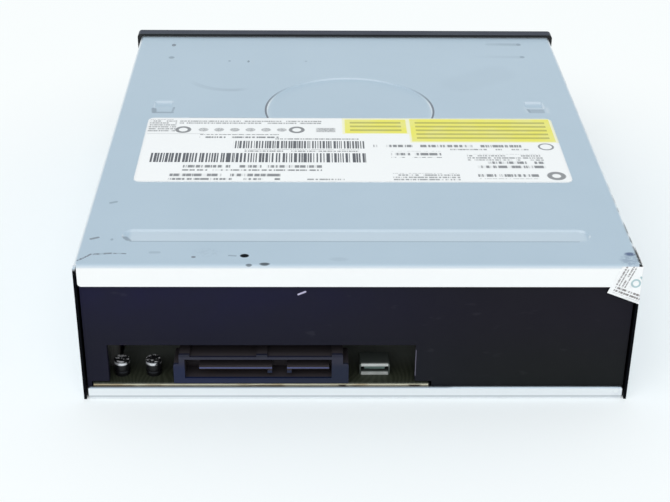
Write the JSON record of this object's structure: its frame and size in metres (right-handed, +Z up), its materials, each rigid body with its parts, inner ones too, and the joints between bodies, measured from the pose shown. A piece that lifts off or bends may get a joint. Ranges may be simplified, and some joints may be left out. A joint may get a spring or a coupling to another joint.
{
  "type": "optical disc drive",
  "caption": "Half-height internal optical disc drive: folded steel case, front bezel with a sliding disc tray, combined power and data connector at the rear.",
  "frame": {"origin": "middle of the underside", "axes": "+X right seen from the front, +Y from the bezel to the rear, +Z up"},
  "size_m": [0.1486, 0.17, 0.042],
  "materials": {
    "cover_steel": "zinc-coated sheet, satin",
    "chassis_plastic": "black moulding, satin",
    "bezel_plastic": "black, fine texture",
    "tray_plastic": "dark grey, fine texture",
    "board_laminate": "tan laminate edge",
    "chip_plastic": "moulded packages",
    "can_aluminium": "bright cans",
    "connector_plastic": "dark navy moulding",
    "contact_gold": "plated contacts",
    "shell_steel": "plated shell",
    "core_plastic": "dark insert",
    "lamp_plastic": "lamp and pipe",
    "motor_steel": "plated motor cans",
    "belt_rubber": "matt",
    "gear_plastic": "natural acetal",
    "traverse_steel": "stamped",
    "screw_steel": "plated",
    "rod_chrome": "ground",
    "bearing_brass": "sintered",
    "coil_copper": "enamelled winding",
    "table_plastic": "black",
    "pickup_metal": "die cast",
    "lens_glass": "clear",
    "label_paper": null
  },
  "bodies": {
    "case": {"top_cover": "cover_steel", "bottom_plate": "cover_steel", "main_chassis": "chassis_plastic", "front_bezel": "bezel_plastic", "main_board": "board_laminate", "board_chips": "chip_plastic", "board_cans": "can_aluminium", "front_board": "board_laminate", "sata_housing": "connector_plastic", "sata_contacts": "contact_gold", "service_socket": "shell_steel", "service_socket_core": "core_plastic", "eject_switch": "chip_plastic", "lamp": "lamp_plastic", "light_pipe": "lamp_plastic", "loading_motor": "motor_steel", "drive_belt": "belt_rubber", "gear_caps": "gear_plastic", "clamper_bridge": "chassis_plastic", "case_screws": "screw_steel", "rating_label": "label_paper"},
    "drawer": {"tray": "tray_plastic", "tray_door": "bezel_plastic"},
    "drive_wheel": {"drive_gear": "gear_plastic"},
    "pulley_wheel": {"pulley_gear": "gear_plastic"},
    "motor_roller": {"motor_pulley": "gear_plastic"},
    "cam": {"cam_slider": "gear_plastic"},
    "lift": {"lift_frame": "chassis_plastic", "traverse_plate": "traverse_steel", "damper_grommets": "belt_rubber", "damper_screws": "screw_steel", "main_guide_rod": "rod_chrome", "sub_guide_rod": "rod_chrome", "rod_holders": "gear_plastic", "spindle_base": "motor_steel", "spindle_bearing": "bearing_brass", "spindle_coils": "coil_copper", "sled_motor": "motor_steel"},
    "table": {"spindle_shaft": "motor_steel", "rotor_cup": "motor_steel", "turntable": "table_plastic", "friction_ring": "belt_rubber"},
    "screw": {"lead_screw": "rod_chrome"},
    "pickup": {"pickup_housing": "pickup_metal", "pickup_cover": "pickup_metal", "pickup_nut": "gear_plastic", "actuator_base": "table_plastic"},
    "lens": {"lens_holder": "table_plastic", "objective_lens": "lens_glass"},
    "clamp": {"clamper_puck": "table_plastic", "clamper_yoke": "screw_steel"},
    "button": {"eject_button": "bezel_plastic", "switch_plunger": "gear_plastic"}
  },
  "joints": [
    {"name": "tray_slide", "type": "slide", "parent": "case", "child": "drawer", "axis": [0, -1, 0], "range_m": [0, 0.132]},
    {"name": "drive_gear_spin", "type": "hinge", "parent": "case", "child": "drive_wheel", "pos_m": [-0.03288, -0.062, 0.019], "axis": [0, 0, 1], "range_deg": [0, 950]},
    {"name": "pulley_gear_spin", "type": "hinge", "parent": "case", "child": "pulley_wheel", "pos_m": [-0.01526, -0.062, 0.015], "axis": [0, 0, 1], "range_deg": [-2440, 0]},
    {"name": "motor_pulley_spin", "type": "hinge", "parent": "case", "child": "motor_roller", "pos_m": [0.022, -0.0645, 0.013], "axis": [0, 0, 1], "range_deg": [-7200, 0]},
    {"name": "cam_slide", "type": "slide", "parent": "case", "child": "cam", "axis": [1, 0, 0], "range_m": [0, 0.014]},
    {"name": "lift_tilt", "type": "hinge", "parent": "case", "child": "lift", "pos_m": [0, 0.064, 0.014], "axis": [1, 0, 0], "range_deg": [0, 3.4]},
    {"name": "turntable_spin", "type": "hinge", "parent": "lift", "child": "table", "pos_m": [0, -0.015, 0.02], "axis": [0, 0, 1], "continuous": true},
    {"name": "clamper_spin", "type": "hinge", "parent": "case", "child": "clamp", "pos_m": [0, -0.015, 0.033], "axis": [0, 0, 1], "continuous": true},
    {"name": "pickup_slide", "type": "slide", "parent": "lift", "child": "pickup", "axis": [0, 1, 0], "range_m": [0, 0.034]},
    {"name": "lead_screw_spin", "type": "hinge", "parent": "lift", "child": "screw", "pos_m": [0.033, 0.02, 0.0186], "axis": [0, 1, 0], "range_deg": [0, 4090]},
    {"name": "lens_focus", "type": "slide", "parent": "pickup", "child": "lens", "axis": [0, 0, 1], "range_m": [-0.0004, 0.0004], "stiffness_N_per_m": 25},
    {"name": "eject_press", "type": "slide", "parent": "case", "child": "button", "axis": [0, 1, 0], "range_m": [0, 0.0004], "stiffness_N_per_m": 400}
  ],
  "couplings": [
    {"joint": "drive_gear_spin", "follows": "tray_slide", "rad_per_m": 125},
    {"joint": "pulley_gear_spin", "follows": "tray_slide", "rad_per_m": -321.43},
    {"joint": "motor_pulley_spin", "follows": "tray_slide", "rad_per_m": -943.55},
    {"joint": "lift_tilt", "follows": "cam_slide", "rad_per_m": 4.2386},
    {"joint": "clamper_spin", "follows": "turntable_spin", "ratio": 1},
    {"joint": "lead_screw_spin", "follows": "pickup_slide", "rad_per_m": 2094.4}
  ]
}
